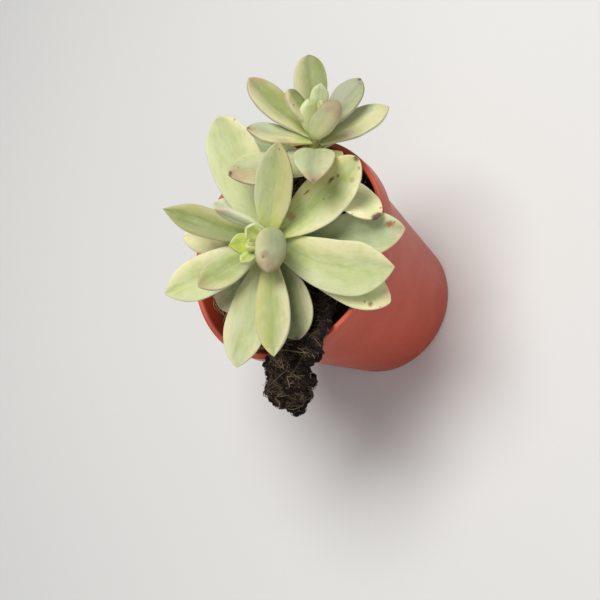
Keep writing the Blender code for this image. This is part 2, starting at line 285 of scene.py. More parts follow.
MAIN_LEAVES = (
    Leaf("main_leaf_01", 24.3, -58.7, 7.6, 33.9, 12.6, 2.5, curl=7, tip=0.75),
    Leaf("main_leaf_02", 25.0, 161, -4, 21.0, 12.4, tip=0.6),
    Leaf("main_leaf_03", 27.0, 83, -3, 19.2, 10.8, 2.4),
    Leaf("main_leaf_04", 26.3, -89.5, 10, 34.6, 11.6, curl=8, tip=0.65),
    Leaf("main_leaf_05", 24.0, 109, -6, 26.5, 9.5, tip=0.6),
    Leaf("main_leaf_06", 27.6, -134.8, 12, 25.0, 11.4, 2.6, curl=8, tip=0.6, sweep=8, base=0.26),
    Leaf("main_leaf_07", 29.0, 49, 4, 35.5, 15.2, tip=0.65, sweep=10),
    Leaf("main_leaf_08", 28.5, 142, 8, 30.0, 11.8, around=-12, base=0.45),
    Leaf("main_leaf_09", 30.2, -164.4, 14, 32.0, 12.0, sweep=-10),
    Leaf("main_leaf_10", 30.0, -76.8, 12, 34.6, 14.4,
         tip=1, around=14, sweep=-38, base=0.5, root=-0.75),
    Leaf("main_leaf_11", 30.5, 98, 12, 28.3, 8.2, tip=1.2),
    Leaf("main_leaf_12", 32.2, -24.6, 6.3, 30.7, 13.2, 2.7, 18,
         tip=0.6, around=12, sweep=-20, base=0.28, widest=0.55),
    Leaf("main_leaf_13", 33.0, -141, 26, 31.3, 9.6, tip=1.0),
    Leaf("main_leaf_14", 33.5, 154, 26, 19.0, 8.6),
    Leaf("main_leaf_15", 34.0, 10, 28, 25.0, 10.6, channel=0.25, base=0.48, widest=0.45),
    Leaf("main_leaf_16", 35.5, 92, 25, 14.0, 5.4, 2.4, 8, -62, 0.0, around=-63, root=-0.8),
)
MAIN_HEART = (
    Leaf("front", 36.5, -148, 30, 14.3, 8.2, 4.8, 10, 160,
         tip=0.72, around=134, widest=0.43, root=-2.1, plump=1),
    Leaf("left", 38.0, 132, 46, 8.6, 5.4, 2.0, 20, 0, 0.3, 1.6, base=0.5, widest=0.5),
    Leaf("upper", 38.0, 85, 50, 4.8, 4.6, 2.0, 30, 0, 0.4, 1.0, -50, base=0.6),
    Leaf("lower", 37.5, 180, 48, 9.0, 3.6, 2.0, 30),
    Leaf("inner", 38.0, 170, 72, 6.0, 3.2, 1.8, 30),
    Leaf("innermost", 38.5, 150, 78, 4.5, 2.4, 1.6, 20),
)
TOP_LEAVES = (
    Leaf("top_leaf_01", 28.0, 93, -2, 19.5, 8.0),
    Leaf("top_leaf_02", 28.5, -108.4, -2.7, 25.1, 10.6, 2.2, tip=0.6),
    Leaf("top_leaf_03", 31.0, 154, 6, 23.8, 10.6, 2.6, roll=-16),
    Leaf("top_leaf_04", 31.5, 10, 4, 17.0, 8.5),
    Leaf("top_leaf_05", 32.8, -99, 9, 7.2, 6.4, 2.0),
    Leaf("top_leaf_06", 33.2, -178, 4.5, 13.0, 10.4, 2.2, tip=0.5, base=0.55),
    Leaf("top_leaf_07", 34.0, 48, 16, 15.0, 7.6, 2.6),
    Leaf("top_leaf_08", 34.7, -146, 12, 20.9, 10.6, 2.6, curl=-48, tip=1.0, base=0.2, widest=0.44),
    Leaf("top_leaf_09", 35.9, 126, 14, 16.6, 8.0, 2.5, around=12, sweep=-12, base=0.42),
    Leaf("top_leaf_10", 35.4, -36.8, 20, 19.5, 10.6, 2.5,
         around=-6, sweep=14, base=0.45, widest=0.54),
    Leaf("top_leaf_11", 37.3, 91, 27, 21.4, 10.0, tip=0.7, sweep=6, base=0.4, widest=0.57),
    Leaf("top_leaf_12", 38.0, -9.5, 32, 17.0, 8.6, tip=0.7),
    Leaf("top_leaf_13", 39.0, 41, 35, 19.5, 9.0, tip=0.6),
)
TOP_HEART = (
    Leaf("front", 38.5, -44, 56, 12.4, 6.5, 4.6, 4, -120,
         tip=0.6, around=-120, widest=0.5, root=-1.1, plump=1),
    Leaf("left", 41.0, 105, 50, 11.2, 6.6, 2.6, 20, tip=0.65, base=0.55),
    Leaf("upper", 42.0, 20, 62, 9.5, 5.0, 2.4, 20, tip=1.1),
    Leaf("inner", 38.2, 60, 75, 9.8, 5.4, 3.4, 10, around=109, root=0.55, plump=1),
    Leaf("innermost", 43.0, -30, 78, 5.0, 2.8, 1.8, 20),
)


def stem_frame(stem):
    """The stem's own directions: along it, and towards bearings 0 and 90."""
    along = Vector(stem.lean).normalized()
    ahead = Vector((1, 0, 0))
    ahead = (ahead - along * ahead.dot(along)).normalized()
    return along, ahead, along.cross(ahead)


def stem_radius(stem, height):
    return stem.foot_radius + (stem.tip_radius - stem.foot_radius) * height / stem.length


def leaf_outline(t, leaf):
    """Half width of a leaf at t of its length, as a share of its greatest half width."""
    t = min(max(t, 0.0), 1.0)
    if t >= leaf.widest:
        return (1 - ((t - leaf.widest) / (1 - leaf.widest)) ** OUTLINE_POINT) ** leaf.tip
    if leaf.plump:
        return max(BLUNT_END, math.sqrt(1 - (1 - t / leaf.widest) ** 2))
    return leaf.base + (1 - leaf.base) * math.sin(math.pi / 2 * t / leaf.widest) ** OUTLINE_SWELL


def leaf_thickness(t, leaf):
    t = min(max(t, 0.0), 1.0)
    swell = END_THICKNESS + (1 - END_THICKNESS) * math.sin(math.pi * min(1.0, t / THICK_UNTIL))
    return swell * min(1.0, EDGE_REACH * leaf_outline(t, leaf)) ** EDGE_POWER


def leaf_axes(leaf, stem):
    along, ahead, aside = stem_frame(stem)
    bearing = math.radians(leaf.bearing)
    root = math.radians(leaf.bearing + leaf.around)
    rise = math.radians(leaf.rise)
    roll = math.radians(leaf.roll)
    outward = turned(ahead, aside, root)
    radial = turned(ahead, aside, bearing)
    heading = turned(radial, along, rise)
    face = along * math.cos(rise) - radial * math.sin(rise)
    side = heading.cross(face)
    face = turned(face, side, roll)
    return outward, heading, face, heading.cross(face)


def leaf_path(leaf, stem, root, steps):
    """Middle point and side and upward directions at each step of a leaf's length."""
    along = stem_frame(stem)[0]
    outward, heading, face, side = leaf_axes(leaf, stem)
    curl = math.radians(leaf.curl)
    sweep = math.radians(leaf.sweep)
    slope = math.radians(leaf.rise) - curl / 2
    stand_off = GAP + leaf.thick / 2 * abs(math.sin(slope)) if root is None else -root
    place = Vector(stem.foot) + along * leaf.height
    place = place + outward * (stem_radius(stem, leaf.height) + stand_off)

    def course(t):
        t = max(t, 0.0)
        bend = sweep * (t - 0.5)
        ahead = turned(turned(heading, side, bend), face, curl * (t - 0.5))
        return ahead, side * math.cos(bend) - heading * math.sin(bend)

    last = 0.0
    for t in steps:
        place = place + leaf.length * (t - last) * course((t + last) / 2)[0]
        ahead, aside = course(t)
        yield t, place.copy(), aside, aside.cross(ahead), ahead
        last = t


def leaf_steps(leaf):
    """Steps along a leaf, closer at its ends, with two towards its stem where it isn't plump."""
    if leaf.plump:
        return [(1 - math.cos(math.pi * i / LEAF_RINGS)) / 2 for i in range(LEAF_RINGS)] + [1.0]
    sink = LEAF_SINK / leaf.length
    steps = [1 - (1 - i / LEAF_RINGS) ** TIP_CROWDING for i in range(LEAF_RINGS)]
    return [-sink, -sink / 2] + steps + [1.0]


def full(value, power):
    """A sine or cosine with its ends filled out, for sections rounder than an ellipse."""
    return math.copysign(abs(value) ** power, value)


def make_leaf(name, leaf, stem, material, seed, root, node, slot):
    """A fine plump leaf: hollowed face, rounded back, wavering margins and a small point."""
    points, shares, places = [], [], []
    if leaf.root is not None:
        root = leaf.root
    drift = Vector((0, 0, seed * FORM_SEED))
    pattern = seed * SKIN_SEED
    fineness = min(1.0, leaf.width / FINE_WIDTH)
    hollow = 1 - leaf.plump
    face_share = FACE_SHARE + (0.5 - FACE_SHARE) * leaf.plump

    def wave(*spot):
        return noise.noise(Vector(spot) + drift)

    for t, place, side, up, ahead in leaf_path(leaf, stem, root, leaf_steps(leaf)):
        if t == 1.0:
            break
        body = math.sin(math.pi * min(max(t, 0.0), 1.0)) ** 0.5
        narrow = 1 + NECK * min(t, 0.0) * leaf.length / LEAF_SINK
        width = leaf.width / 2 * leaf_outline(t, leaf) * narrow
        thick = leaf.thick * leaf_thickness(t, leaf) * narrow
        place = place + side * (BEND_WAVE * fineness * wave(t * 2.3, 1.7, 0) * body)
        for turn in angles(LEAF_SIDES):
            x = full(math.cos(turn), SECTION_POWERS[0])
            z = full(math.sin(-turn), SECTION_POWERS[1])
            waver = wave(t * 5.0, 4.0 if x > 0 else 9.0, 0)
            reach = width * (1 + MARGIN_WAVE * waver * body * abs(x))
            if z > 0:
                fade = 1 - GROOVE_FADE * max(t, 0.0)
                groove = GROOVE * math.exp(-((x / GROOVE_WIDTH) ** 2)) * fade
                pillow = PILLOW * math.sin(math.pi * min(1.0, abs(x)))
                share = face_share * (1 + hollow * (pillow - groove))
            else:
                keel = KEEL * hollow * math.exp(-((x / KEEL_WIDTH) ** 2))
                share = (1 - face_share) * (BACK + keel)
            edge = hollow * leaf.channel * width * (x * x - 0.5)
            swell = 1 + THICKNESS_WAVE * wave(t * 3.1, x * 0.9, 20 + z)
            ripple = RIPPLE * fineness * wave(t * 3.4, x * 0.9, 2.0) * body
            lift = edge + thick * share * z * swell + ripple
            points.append(place + side * (reach * x) + up * lift)
            shares.append((x, t, z))
            places.append((x * width, t * leaf.length, pattern))
    rings = len(points) // LEAF_SIDES
    points.append(place + ahead * CUSP * fineness * hollow)
    shares.append((0, 1, 0))
    places.append((0, leaf.length, pattern))
    faces = grid_faces(rings, LEAF_SIDES, None, len(points) - 1)
    obj = mesh_object(name, points, faces, material)
    store(obj, "share", shares)
    store(obj, "spot", places)
    dress(obj, node, slot)


# Colours that the leaves share
MINT = srgb(196, 204, 144)
GREEN = srgb(170, 184, 104)
DEEP = srgb(138, 150, 78)
SHADE = srgb(150, 162, 118)
BRIGHT = srgb(178, 194, 78)
BLUE = srgb(176, 188, 148)
SILVER = srgb(204, 208, 180)
PALE = srgb(210, 216, 166)
CREAM = srgb(228, 222, 172)
YELLOW = srgb(216, 208, 140)
TAN = srgb(200, 182, 138)
BLUSH = srgb(178, 146, 118)
SCAR = srgb(120, 78, 44)
RUST = srgb(158, 100, 60)
PURPLE = srgb(92, 58, 56)
RIM_TONE = srgb(232, 232, 204)
BLOOM = srgb(220, 226, 208)
UNDERSIDE = srgb(198, 198, 162)

# A scar: its place over the half width and along the length, its radius in millimetres, how
# strong it is, its colour, and how many times longer than wide.
Spot = namedtuple("Spot", "s t radius strength colour stretch", defaults=(0.8, SCAR, 1.0))
# A leaf's skin: colours of its middle and its two margins, the stripe's place and half width as
# shares of the half width, its second colour, the strength and the length in millimetres of the
# blush at its tip, and how bright the whole is. That brightness is partly painted light and shade:
# above 1 it lightens a leaf that lies in other leaves' shadow, below 1 it paints shade onto a
# leaf.
Skin = namedtuple(
    "Skin",
    "middle left right centre stripe fleck blush flush tone",
    defaults=(BLUE, 0.1, 3.0, 1.0),
)
STRIPE_SOFTNESS = 0.5
WOBBLE = 0.9  # millimetres by which a scar's outline strays
# Patterns of the skin: noise per millimetre across and along a leaf, its detail and roughness
PATTERNS = {
    "streaks": (0.5, 0.09, 3.0, 0.55),
    "patches": (0.16, 0.11, 2.0, 0.55),
    "flecks": (1.1, 0.2, 4.0, 0.62),
    "veins": (2.4, 0.12, 3.0, 0.6),
    "fine": (3.4, 0.6, 3.0, 0.6),
    "dust": (0.3, 0.12, 2.0, 0.55),
    "clouds": (0.45, 0.3, 2.0, 0.55),
    "bloom": (0.35, 0.3, 4.0, 0.6),
    "powder": (1.9, 1.7, 3.0, 0.6),
}


def leaf_material(name, skin, leaf, scars):
    """Variegated, powdery leaf skin with its scars."""
    tree = Tree(name, skin.middle)
    side, reach, top = tree.parts(tree.attribute("share"))
    spot = tree.attribute("spot")
    across, along, seed = tree.parts(spot)
    off_axis = tree.math("ABSOLUTE", side)

    def pattern(kind):
        over, lengthwise, detail, rough = PATTERNS[kind]
        place = tree.join(tree.times(across, over), tree.times(along, lengthwise), seed)
        return tree.noise(place, 1.0, detail, rough)

    streaks = pattern("streaks")
    patches = pattern("patches")
    fine = pattern("fine")
    clouds = pattern("clouds")
    bloom = pattern("bloom")

    ragged = tree.plus(tree.times(tree.minus(streaks, 0.5), 0.7), side)
    ragged = tree.plus(ragged, tree.minus(patches, 0.5))
    low = skin.centre - skin.stripe
    high = skin.centre + skin.stripe
    soft = STRIPE_SOFTNESS
    tree.coat(tree.smooth(ragged, low + soft, low - soft), skin.left)
    tree.coat(tree.smooth(ragged, high - soft, high + soft), skin.right)

    off_middle = tree.math("ABSOLUTE", tree.minus(side, skin.centre))
    inner = tree.smooth(off_middle, skin.stripe + 0.3, skin.stripe - 0.25)
    for spread, most, over in (
        (tree.smooth(pattern("flecks"), 0.42, 0.7), 0.38, skin.fleck),
        (tree.smooth(streaks, 0.5, 0.75), 0.35, DEEP),
    ):
        tree.coat(tree.times(spread, tree.times(inner, most)), over)
    for value, low, high, most, over in (
        (pattern("veins"), 0.48, 0.74, 0.26, skin.fleck),
        (reach, 0.34, 0.02, 0.5, BRIGHT),
        (fine, 0.5, 0.8, 0.16, DEEP),
        (pattern("dust"), 0.4, 0.75, 0.2, BLOOM),
        (clouds, 0.45, 0.75, 0.34, PALE),
        (clouds, 0.5, 0.25, 0.28, GREEN),
    ):
        tree.coat(tree.smooth(value, low, high, most), over)
    # Painted shade in the crease: the middle of the face is darkened towards the base, where its
    # groove is deepest.
    groove = tree.times(tree.smooth(off_axis, 0.1, 0.0), tree.smooth(reach, 0.8, 0.2, 0.18))
    tree.coat(groove, DEEP)
    tree.coat(tree.smooth(top, 0.1, -0.3, 0.3), UNDERSIDE)

    rim_most = 0.5 * min(1.0, leaf.width / FINE_WIDTH) ** 2
    rim = tree.times(tree.smooth(off_axis, 0.84, 1.0), tree.smooth(patches, 0.3, 0.6, rim_most))
    tree.coat(rim, RIM_TONE)
    to_tip = tree.minus(leaf.length, along)
    uneven = tree.plus(to_tip, tree.times(tree.minus(bloom, 0.5), 5.0))
    tree.coat(tree.smooth(uneven, skin.flush, 0.2, skin.blush * 0.75), BLUSH)
    near_tip = tree.smooth(to_tip, skin.flush * 1.8, 1.0, skin.blush * 0.7)
    warm = tree.times(tree.smooth(off_axis, 0.9, 1.0), near_tip)
    tree.coat(warm, BLUSH)

    if scars:
        wobble = tree.node("TexNoise", {"Vector": spot, "Scale": 1.6}).outputs["Color"]
        stray = tree.vector("MULTIPLY", wobble, (WOBBLE, WOBBLE, 0.0))
        bent = tree.vector("ADD", tree.join(across, along), stray)
    for mark in (Spot(*row) for row in scars):
        half = leaf.width / 2 * leaf_outline(mark.t, leaf)
        middle = (mark.s * half + WOBBLE / 2, mark.t * leaf.length + WOBBLE / 2, 0.0)
        away = tree.vector("SUBTRACT", bent, middle)
        scaled = tree.vector("MULTIPLY", away, (1.0, 1.0 / mark.stretch, 0.0))
        far = tree.vector("LENGTH", scaled)
        share = tree.smooth(far, mark.radius * 1.2, mark.radius * 0.3, mark.strength)
        tree.coat(share, mark.colour)

    # Painted light and shade, in part: the tone lightens or darkens the whole leaf as lighting
    # would.
    if skin.tone != 1.0:
        tree.coat(1.0, (skin.tone,) * 3, "MULTIPLY")
    relief = tree.plus(tree.times(fine, 0.5), tree.times(pattern("powder"), 0.5))
    tree.surface(
        Roughness=tree.plus(0.46, tree.times(bloom, 0.2)),
        Normal=tree.bump(relief, 0.0001, 0.45),
        Subsurface_Weight=0.2,
        Subsurface_Radius=(1.0, 0.9, 0.35),
        Subsurface_Scale=0.002,
        Specular_IOR_Level=0.35,
        Sheen_Weight=0.1,
        Sheen_Roughness=0.55,
        Sheen_Tint=srgb(236, 240, 226),
    )
    return tree.material


# By the name of the leaf: rows of Spot
SCARS = {
    "main_leaf_01": (
        (-0.42, 0.88, 1.0, 0.95, RUST, 1.5), (-0.62, 0.92, 0.45, 0.7), (-0.3, 0.84, 0.35, 0.5),
    ),
    "main_leaf_03": ((0.8, 0.82, 0.4, 0.6), (0.6, 0.75, 0.3, 0.5)),
    "main_leaf_04": ((0.63, 0.87, 0.8, 0.75), (0.55, 0.82, 0.4, 0.5), (0.85, 0.95, 0.4, 0.5)),
    "main_leaf_06": ((0.2, 0.985, 0.6, 0.6, PURPLE),),
    "main_leaf_07": ((0.95, 0.93, 0.5, 0.6),),
    "main_leaf_12": (
        (-0.27, 0.7, 0.5, 0.9, SCAR, 3.2), (-0.18, 0.77, 0.4, 0.8, SCAR, 1.6),
        (-0.62, 0.46, 0.32, 0.85, SCAR, 4.5), (0.05, 0.54, 0.3, 1.0, PURPLE),
        (-0.35, 0.22, 1.5, 0.6, RUST), (0.0, 0.985, 1.0, 0.85, PURPLE), (0.7, 0.94, 0.45, 0.6),
        (0.5, 0.83, 0.9, 0.45, RUST),
    ),
    "main_leaf_15": ((0.25, 0.92, 0.35, 0.8),),
    "top_leaf_02": (
        (0.45, 0.98, 1.1, 0.9, PURPLE), (-0.1, 0.985, 1.6, 0.95, PURPLE),
        (-0.6, 0.97, 0.9, 0.85, PURPLE), (-0.8, 0.9, 0.5, 0.6, PURPLE), (0.95, 0.8, 0.35, 0.5),
    ),
    "top_leaf_03": (
        (0.36, 0.97, 0.7, 0.75, PURPLE), (-0.3, 0.98, 0.6, 0.7, PURPLE), (0.36, 0.85, 0.27, 0.8),
        (0.65, 0.9, 0.3, 0.6),
    ),
    "top_leaf_09": ((-0.9, 0.38, 1.6, 0.4, BLUSH, 2.4), (0.0, 0.98, 0.8, 0.6, SCAR)),
    "top_leaf_08": ((0.45, 0.75, 0.3, 0.5), (0.0, 0.96, 1.0, 0.45, PURPLE)),
    "top_leaf_10": ((0.63, 0.4, 0.27, 0.7), (0.6, 0.16, 0.3, 0.4), (0.0, 0.99, 0.3, 0.5)),
    "top_leaf_12": ((0.14, 0.985, 0.6, 0.9, PURPLE), (0.5, 0.92, 0.3, 0.7), (0.7, 0.86, 0.2, 0.5)),
    "main_stem_front": ((-0.35, 0.7, 1.3, 0.4), (-0.45, 0.76, 0.45, 0.75)),
    "top_stem_left": ((-0.7, 0.68, 0.27, 0.9, PURPLE),),
}
# Rows of Skin in the order of a stem's leaves and then those of its heart
# Tones above 1 partly paint light onto leaves that lie in shadow; SHADE and tones below 1 paint
# shade.
MAIN_SKINS = (
    (BLUE, PALE, CREAM, 0.1, 0.6, GREEN, 0.6, 6.0),
    # main_leaf_02: shade-coloured middle, and a tone above 1 that paints light onto a leaf lying
    # in shadow.
    (SHADE, CREAM, SILVER, 0.0, 0.5, SILVER, 0.7, 7.0, 1.3),
    (SILVER, RIM_TONE, SILVER, 0.0, 0.6, RIM_TONE, 0.1, 3.0, 1.05),
    # main_leaf_04: its tone above 1 paints light onto a leaf lying in another leaf's shadow.
    (PALE, CREAM, CREAM, 0.0, 0.5, MINT, 0.6, 5.0, 1.26),
    # main_leaf_05: its tone above 1 partly paints light onto a leaf in another leaf's shadow.
    (CREAM, CREAM, RIM_TONE, 0.0, 0.4, YELLOW, 0.1, 3.0, 1.1),
    # main_leaf_06: painted shadow, with shade colours and a tone below 1 for a leaf lying under
    # its neighbours.
    (SHADE, CREAM, SHADE, -0.05, 0.45, GREEN, 0.6, 3.0, 0.7),
    (MINT, PALE, CREAM, -0.1, 0.55, BLUE, 0.15),
    (MINT, PALE, CREAM, 0.0, 0.5, GREEN),
    (MINT, CREAM, CREAM, 0.0, 0.6, BLUE, 0.1, 3.0, 0.86),
    (MINT, CREAM, PALE, 0.0, 0.45, GREEN, 0.35, 5.0, 0.92),
    (GREEN, YELLOW, YELLOW, -0.1, 0.5, DEEP, 0.1, 3.0, 0.71),
    (GREEN, YELLOW, CREAM, 0.05, 0.5, BLUE, 0.45, 5.0, 1.06),
    (GREEN, CREAM, YELLOW, 0.0, 0.42, MINT, 0.1, 3.0, 0.8),
    (GREEN, CREAM, MINT, 0.0, 0.55, DEEP, 0.7, 4.5, 0.92),
    (MINT, PALE, YELLOW, -0.2, 0.45, GREEN, 0.35, 5.0, 0.92),
    (SILVER, SILVER, SILVER, 0.0, 0.6, MINT, 0.6, 4.0, 1.18),
    # Front heart leaf: painted light on its pale left margin, painted shade over its middle and
    # right side.
    (SHADE, CREAM, SHADE, 0.15, 0.5, BLUE, 0.75, 6.5, 0.79),
    (BRIGHT, BRIGHT, BRIGHT, 0.0, 0.5, YELLOW, 0.0, 2.0, 1.16),
    (BRIGHT, MINT, MINT, 0.0, 0.5, GREEN, 0.0, 2.0, 1.16),
    (BRIGHT, MINT, MINT, 0.0, 0.5, GREEN, 0.0, 2.0, 1.12),
    (YELLOW, BRIGHT, BRIGHT, 0.0, 0.5, YELLOW, 0.0, 2.0, 1.16),
    (BRIGHT, YELLOW, BRIGHT, 0.0, 0.5, YELLOW, 0.0, 2.0),
)
TOP_SKINS = (
    (BLUE, SILVER, SILVER, 0.0, 0.6, GREEN),
    (MINT, CREAM, CREAM, -0.1, 0.3, SILVER, 0.5, 4.0, 1.23),
    (TAN, TAN, PALE, 0.0, 0.4, CREAM, 0.7, 5.0),
    (GREEN, MINT, MINT, 0.0, 0.5),
    (GREEN, YELLOW, SILVER, 0.0, 0.5),
    (MINT, CREAM, SILVER, 0.0, 0.4, GREEN, 0.6, 3.5, 0.96),
    (GREEN, MINT, PALE, 0.0, 0.5),
    (BLUE, CREAM, PALE, 0.0, 0.4, MINT, 1.0, 5.5, 0.86),
    (BLUE, CREAM, SILVER, 0.15, 0.35, YELLOW, 0.8, 3.0, 0.97),
    (PALE, PALE, CREAM, -0.5, 0.3, MINT, 0.3, 3.0, 0.9),
    (GREEN, CREAM, YELLOW, 0.0, 0.45, SHADE, 0.6, 6.0, 0.88),
    (SILVER, SILVER, MINT, 0.0, 0.6, BLUE, 0.35, 3.0, 0.67),
    (GREEN, CREAM, GREEN, 0.2, 0.6, DEEP, 0.35, 4.0, 0.73),
    # Front heart leaf: painted shade on its right side.
    (MINT, CREAM, SHADE, 0.2, 0.4, GREEN, 0.9, 7.0, 0.9),
    (GREEN, CREAM, DEEP, 0.0, 0.35, YELLOW, 0.4, 3.0, 0.94),
    (BLUE, PALE, MINT, 0.0, 0.5, MINT, 0.1, 2.0, 0.97),
    (MINT, PALE, MINT, 0.0, 0.5, BRIGHT, 0.0, 2.0),
    (MINT, MINT, MINT, 0.0, 0.5, BRIGHT, 0.0, 2.0),
)


def make_plant():
    seed = 1
    for stem, leaves, heart, skins in (
        (MAIN_STEM, MAIN_LEAVES, MAIN_HEART, MAIN_SKINS),
        (TOP_STEM, TOP_LEAVES, TOP_HEART, TOP_SKINS),
    ):
        make_stem(stem)
        for leaf, skin in zip((*leaves, *heart), skins, strict=True):
            key, place = leaf.name, (None, leaf.name, "leaves")
            if leaf in heart:
                key, place = f"{stem.name}_{key}", (HEART_ROOT, stem.name, "heart_leaves")
            material = leaf_material(f"skin_{key}", Skin(*skin), leaf, SCARS.get(key, ()))
            make_leaf(f"fine_{key}", leaf, stem, material, seed, *place)
            seed += 1


# Stems: counts, then shares of a stem's length or radius
STEM_RINGS = 120
STEM_SIDES = 28
STEM_LAST_RING = 0.97
STEM_TIP = 0.975
STEM_CLOSING = 0.9  # where a stem starts to close
STEM_ROUNDING = 0.075  # the length that it takes to close
STEM_SCARS = 0.05


def stem_material():
    tree = Tree("stem_skin", srgb(170, 180, 110))
    place = tree.place()
    mottle = tree.noise(place, 900.0, 4.0, 0.6)
    rings = tree.noise(place, 260.0, 2.0)
    tree.coat(tree.smooth(mottle, 0.4, 0.65), srgb(142, 132, 84))
    tree.coat(tree.smooth(rings, 0.55, 0.75, 0.6), srgb(120, 92, 62))
    tree.surface(
        Roughness=tree.plus(0.5, tree.times(mottle, 0.25)),
        Normal=tree.bump(mottle, 0.0003, 0.6),
        Subsurface_Weight=0.1,
        Subsurface_Radius=(1.0, 0.8, 0.4),
        Subsurface_Scale=0.001,
    )
    return tree.material


def make_stem(stem):
    """A stem ringed by old leaf scars, closing to its growing point."""
    along, ahead, aside = stem_frame(stem)
    foot = Vector(stem.foot)
    points = []
    for i in range(STEM_RINGS):
        height = STEM_LAST_RING * stem.length * i / (STEM_RINGS - 1)
        past = max(0.0, (height / stem.length - STEM_CLOSING) / STEM_ROUNDING)
        close = math.sqrt(max(0.0, 1 - past**2))
        for turn in angles(STEM_SIDES):
            scar = noise.noise(Vector((*on_circle(1.2, turn), height * 0.9)))
            radius = stem_radius(stem, height) * (1 + STEM_SCARS * scar) * close
            points.append(foot + along * height + radius * turned(ahead, aside, turn))
    points.append(foot + along * stem.length * STEM_TIP)
    faces = grid_faces(STEM_RINGS, STEM_SIDES, None, len(points) - 1)
    obj = mesh_object(f"fine_{stem.name}", points, faces, stem_material())
    dress(obj, stem.name, "heart_leaves")


# Pot: lengths in millimetres
RIM_HEIGHT = 57.0
RIM_RADIUS = 32.5
BASE_RADIUS = 22.5
COLLAR_HEIGHT = 5.5
COLLAR_STEP = 1.2
LIP_THICKNESS = 1.5
WALL_THICKNESS = 1.0
BASE_THICKNESS = 1.4
POT_SEGMENTS = 220
DRAIN_HOLES = 8
DRAIN_RADIUS = 2.4
DRAIN_CIRCLE = 16.5
DRAIN_SIDES = 32
CORNER_RADII = (0.9, 0.5, 0.5, 0.55, 0.55, 0.8, 0.8, 0.8)
CORNER_STEPS = 5
PROFILE_STEP = 2.5
WARP = 0.18
SHARP_ANGLE = 50.0
# In metres, as the material reads them. The inside is what lies within a cone, given by its
# radius at the floor and its slope, or above the collar's foot within the collar's radius.
INSIDE_RADIUS = 0.0219
INSIDE_SLOPE = 0.1545
COLLAR_FOOT = 0.0517
COLLAR_INSIDE = 0.0313
LIP_HIGHLIGHT_HEIGHTS = (0.0558, 0.0567)  # painted light on the lip's lit top: paler from the first to the second
SOILED_HEIGHTS = (0.0555, 0.0495)  # the same for soil on the inside, downwards


def wall_radius(z):
    top = RIM_RADIUS - COLLAR_STEP
    return BASE_RADIUS + (top - BASE_RADIUS) * z / RIM_HEIGHT


def inner_wall(z):
    return wall_radius(z) - WALL_THICKNESS


def rounded(corners, radii):
    """A profile whose corners are rounded by arcs of the given radii."""
    points = [corners[0]]
    for before, corner, after, radius in zip(corners, corners[1:], corners[2:], radii):
        corner = Vector(corner)
        to_before = Vector(before) - corner
        to_after = Vector(after) - corner
        reach = min(radius, to_before.length * 0.45, to_after.length * 0.45)
        start = corner + to_before.normalized() * reach
        end = corner + to_after.normalized() * reach
        for i in range(CORNER_STEPS + 1):
            u = i / CORNER_STEPS
            points.append(tuple(start * (1 - u) ** 2 + corner * (2 * u * (1 - u)) + end * u**2))
    points.append(corners[-1])
    return points


def pot_material():
    tree = Tree("terracotta_plastic", srgb(196, 74, 44))
    place = tree.place()
    x, y, z = tree.parts(place)
    grain = tree.noise(place, 1400.0, 4.0, 0.6)
    cloud = tree.noise(place, 90.0, 3.0)
    flow = tree.noise(tree.vector("MULTIPLY", place, (1100.0, 1100.0, 40.0)), 1.0, 3.0)
    tree.coat(tree.smooth(cloud, 0.3, 0.7), srgb(190, 70, 40))
    tree.coat(tree.smooth(flow, 0.5, 0.8, 0.14), srgb(210, 96, 62))
    tree.coat(tree.smooth(grain, 0.62, 0.74, 0.4), srgb(150, 96, 70))
    radius = tree.vector("LENGTH", tree.join(x, y))
    wall = tree.plus(INSIDE_RADIUS, tree.times(z, INSIDE_SLOPE))
    collar = tree.times(tree.math("GREATER_THAN", z, COLLAR_FOOT), COLLAR_INSIDE)
    inside = tree.math("LESS_THAN", radius, tree.math("MAXIMUM", wall, collar))
    # Painted shade: the inside of the pot is darkened where it lies in shade.
    tree.coat(tree.times(inside, 0.6), srgb(112, 34, 18))
    # Painted highlight: the top of the lip is paler where light falls on it.
    tree.coat(tree.smooth(z, *LIP_HIGHLIGHT_HEIGHTS, 0.5), srgb(216, 104, 84))
    soiled = tree.times(inside, tree.smooth(z, *SOILED_HEIGHTS))
    soiled = tree.times(soiled, tree.smooth(grain, 0.42, 0.6, 0.85))
    tree.coat(soiled, srgb(62, 40, 26))
    tree.surface(
        Roughness=tree.plus(0.3, tree.times(cloud, 0.22)),
        Normal=tree.bump(tree.plus(flow, tree.times(grain, 0.3)), 0.00008, 0.6),
        Subsurface_Weight=0.08,
        Subsurface_Radius=(1.0, 0.3, 0.15),
        Subsurface_Scale=0.001,
        Specular_IOR_Level=0.5,
    )
    return tree.material


